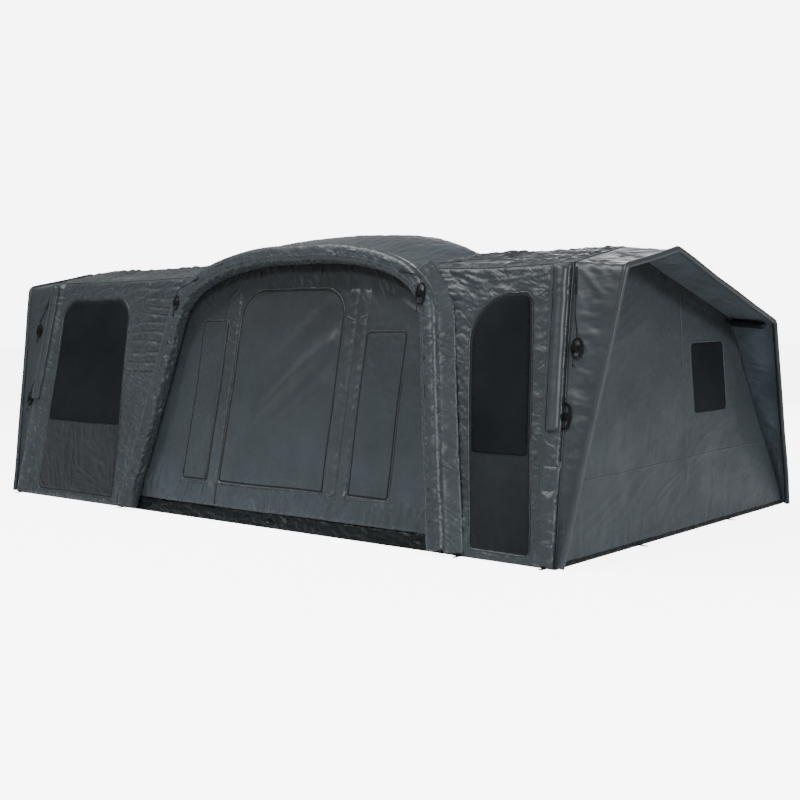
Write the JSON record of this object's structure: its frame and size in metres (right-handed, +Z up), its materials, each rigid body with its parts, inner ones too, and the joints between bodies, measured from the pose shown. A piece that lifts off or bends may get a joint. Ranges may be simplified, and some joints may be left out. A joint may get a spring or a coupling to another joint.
{
  "type": "inflatable tent",
  "caption": "Large inflatable family tent: a domed middle behind a front arch beam, wings with zipped doors, hooded ends, nets, vents, valves and tied-up guy lines.",
  "frame": {"origin": "on the ground under the middle of the body, on the underside of the groundsheet", "axes": "+X along the length, to the right when the front is seen from outside; -Y out of the front; +Z up"},
  "size_m": [7.0632, 4.0679, 2.4394],
  "materials": {
    "skin_cloth": "matte coated weave",
    "sleeve_cloth": "matte coated weave, crinkled over the beams",
    "beam_film": "smooth film",
    "net": "fine mesh",
    "groundsheet_cloth": "matte coated weave",
    "black_plastic": "moulded, satin",
    "cord": "braided, with light flecks"
  },
  "bodies": {
    "tent": {"centre_front_wall": "skin_cloth", "left_front_wall": "skin_cloth", "right_front_wall": "skin_cloth", "centre_rear_wall": "skin_cloth", "left_rear_wall": "skin_cloth", "right_rear_wall": "skin_cloth", "left_front_roof": "skin_cloth", "right_front_roof": "skin_cloth", "left_rear_roof": "skin_cloth", "right_rear_roof": "skin_cloth", "dome_roof": "skin_cloth", "left_end_wall": "skin_cloth", "right_end_wall": "skin_cloth", "left_porch_hood": "skin_cloth", "right_porch_hood": "skin_cloth", "front_arch_beam": "sleeve_cloth", "rear_arch_beam": "sleeve_cloth", "left_porch_hoop": "sleeve_cloth", "right_porch_hoop": "sleeve_cloth", "left_end_beam": "beam_film", "right_end_beam": "beam_film", "ridge_beam": "beam_film", "left_end_window": "net", "right_end_window": "net", "front_left_window": "net", "front_right_window": "net", "groundsheet": "groundsheet_cloth", "left_valve": "black_plastic", "right_valve": "black_plastic", "right_lower_guy_line": "cord", "left_lower_guy_line": "cord", "right_upper_guy_line": "cord", "left_upper_guy_line": "cord", "arch_left_guy_line": "cord", "arch_right_guy_line": "cord", "right_lower_guy_hank": "cord", "left_lower_guy_hank": "cord", "right_upper_guy_hank": "cord", "left_upper_guy_hank": "cord", "arch_left_guy_hank": "cord", "arch_right_guy_hank": "cord"},
    "front_door": {"front_door": "skin_cloth"},
    "left_door": {"left_door": "skin_cloth", "left_door_net": "net"},
    "right_door": {"right_door": "skin_cloth", "right_door_net": "net"},
    "front_left_cover": {"front_left_cover": "skin_cloth"},
    "front_right_cover": {"front_right_cover": "skin_cloth"},
    "left_vent_cover": {"left_vent_cover": "skin_cloth"},
    "right_vent_cover": {"right_vent_cover": "skin_cloth"},
    "left_valve_cover": {"left_valve_cover": "skin_cloth"},
    "right_valve_cover": {"right_valve_cover": "skin_cloth"},
    "left_valve_cap": {"left_valve_cap": "black_plastic"},
    "right_valve_cap": {"right_valve_cap": "black_plastic"},
    "front_door_slider": {"front_door_slider": "black_plastic"},
    "left_door_slider": {"left_door_slider": "black_plastic"},
    "right_door_slider": {"right_door_slider": "black_plastic"},
    "front_left_cover_slider": {"front_left_cover_slider": "black_plastic"},
    "front_right_cover_slider": {"front_right_cover_slider": "black_plastic"}
  },
  "joints": [
    {"name": "front_door_hinge", "type": "hinge", "parent": "tent", "child": "front_door", "pos_m": [0.97, -1.83686, 0.33], "axis": [0, 0.2051, 0.9787], "range_deg": [0, 110]},
    {"name": "left_door_hinge", "type": "hinge", "parent": "tent", "child": "left_door", "pos_m": [-2.85073, -1.89133, 0.07], "axis": [0.0102, -0.2051, -0.9787], "range_deg": [0, 110]},
    {"name": "right_door_hinge", "type": "hinge", "parent": "tent", "child": "right_door", "pos_m": [2.98148, -1.89133, 0.07], "axis": [-0.1183, 0.2036, 0.9719], "range_deg": [0, 110]},
    {"name": "front_left_cover_hinge", "type": "hinge", "parent": "tent", "child": "front_left_cover", "pos_m": [-0.565, -1.83686, 0.33], "axis": [1, 0, 0], "range_deg": [0, 100]},
    {"name": "front_right_cover_hinge", "type": "hinge", "parent": "tent", "child": "front_right_cover", "pos_m": [1.44, -1.83686, 0.33], "axis": [1, 0, 0], "range_deg": [0, 100]},
    {"name": "left_vent_cover_hinge", "type": "hinge", "parent": "tent", "child": "left_vent_cover", "pos_m": [-2.11, -1.15306, 2.16697], "axis": [-1, 0, 0], "range_deg": [0, 45]},
    {"name": "left_valve_cover_hinge", "type": "hinge", "parent": "tent", "child": "left_valve_cover", "pos_m": [-3.0921, -1.75588, 0.72771], "axis": [-1, 0, 0], "range_deg": [0, 120]},
    {"name": "left_valve_cap_turn", "type": "hinge", "parent": "tent", "child": "left_valve_cap", "pos_m": [-3.0921, -1.78029, 0.6], "axis": [0, -0.9787, 0.2051], "continuous": true},
    {"name": "right_vent_cover_hinge", "type": "hinge", "parent": "tent", "child": "right_vent_cover", "pos_m": [2.16975, -1.15306, 2.16697], "axis": [-1, 0, 0], "range_deg": [0, 45]},
    {"name": "right_valve_cover_hinge", "type": "hinge", "parent": "tent", "child": "right_valve_cover", "pos_m": [3.0921, -1.75588, 0.72771], "axis": [-1, 0, 0], "range_deg": [0, 120]},
    {"name": "right_valve_cap_turn", "type": "hinge", "parent": "tent", "child": "right_valve_cap", "pos_m": [3.0921, -1.78029, 0.6], "axis": [0, -0.9787, 0.2051], "continuous": true},
    {"name": "front_door_zip", "type": "slide", "parent": "tent", "child": "front_door_slider", "axis": [0, 0.2051, 0.9787], "range_m": [0, 1.3]},
    {"name": "left_door_zip", "type": "slide", "parent": "tent", "child": "left_door_slider", "axis": [-0.0762, 0.2045, 0.9759], "range_m": [0, 1.5]},
    {"name": "right_door_zip", "type": "slide", "parent": "tent", "child": "right_door_slider", "axis": [-0.1435, 0.2029, 0.9686], "range_m": [0, 1.4]},
    {"name": "front_left_cover_zip", "type": "slide", "parent": "tent", "child": "front_left_cover_slider", "axis": [0, 0.2051, 0.9787], "range_m": [0, 1.25]},
    {"name": "front_right_cover_zip", "type": "slide", "parent": "tent", "child": "front_right_cover_slider", "axis": [0, 0.2051, 0.9787], "range_m": [0, 1.15]}
  ]
}
